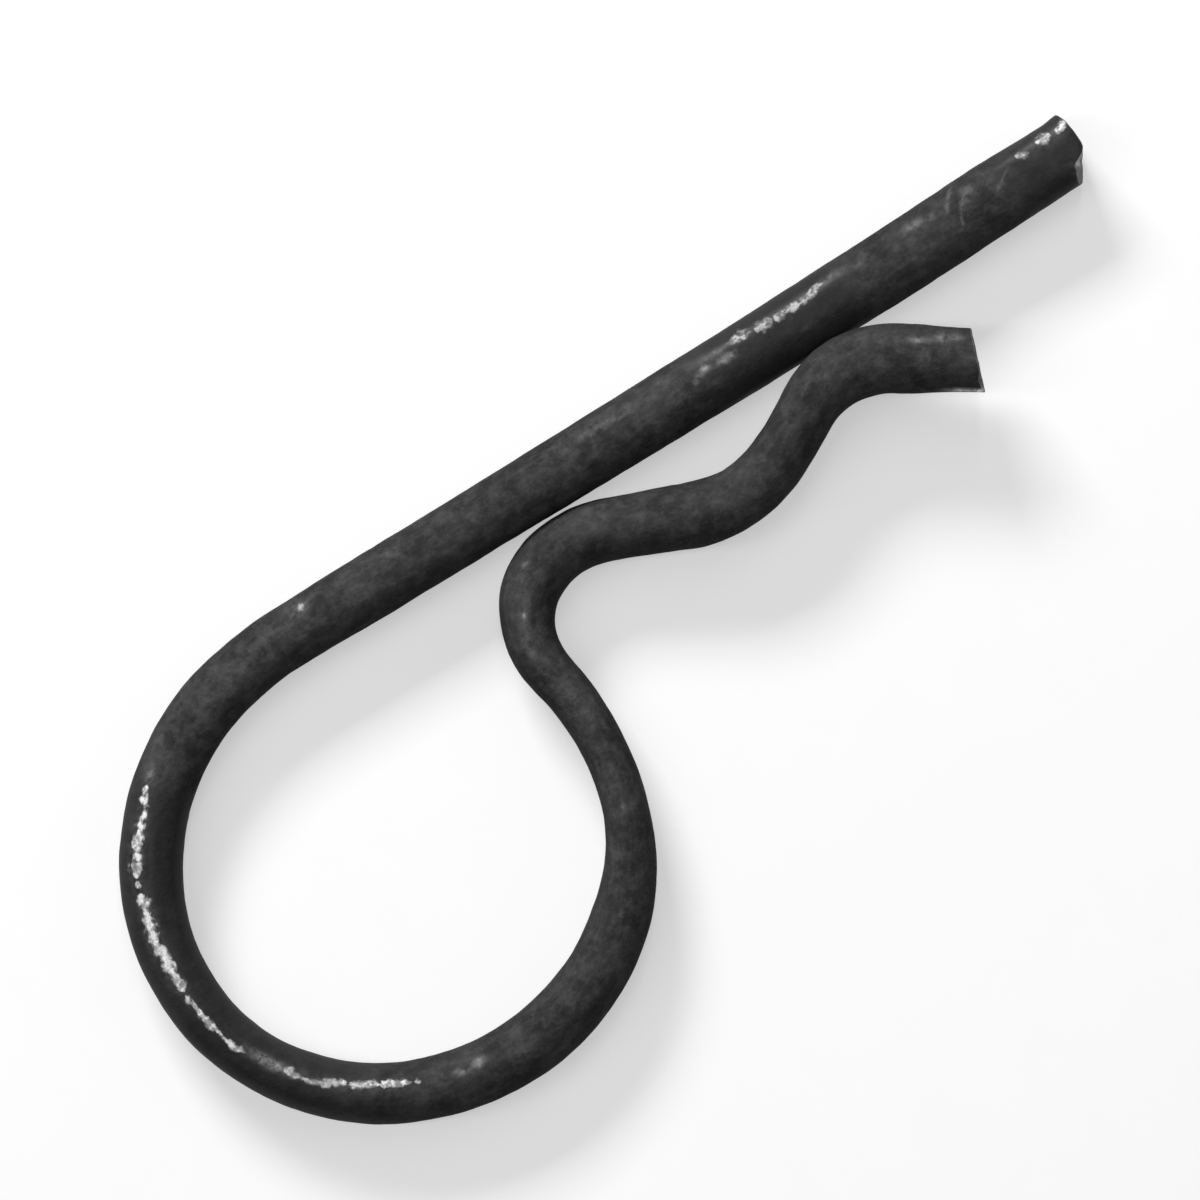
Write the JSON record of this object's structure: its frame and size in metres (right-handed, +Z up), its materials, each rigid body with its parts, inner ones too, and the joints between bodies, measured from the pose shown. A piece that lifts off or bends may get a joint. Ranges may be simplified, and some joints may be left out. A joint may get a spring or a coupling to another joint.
{
  "type": "hitch r clip pin",
  "caption": "Spring-wire R clip: a straight leg passes through a shaft's cross hole while a wavy spring leg hugs the shaft; a round loop serves as the finger pull.",
  "frame": {"origin": "centre of the finger loop, on the plane on which the clip lies", "axes": "+X along the straight leg towards its free end, +Y from the loop's centre towards the straight leg, +Z up from the plane on which the clip lies"},
  "size_m": [0.0769, 0.0343, 0.0063],
  "materials": {
    "spring_wire": "satin"
  },
  "bodies": {
    "root": {"r_clip": "spring_wire"}
  },
  "joints": []
}
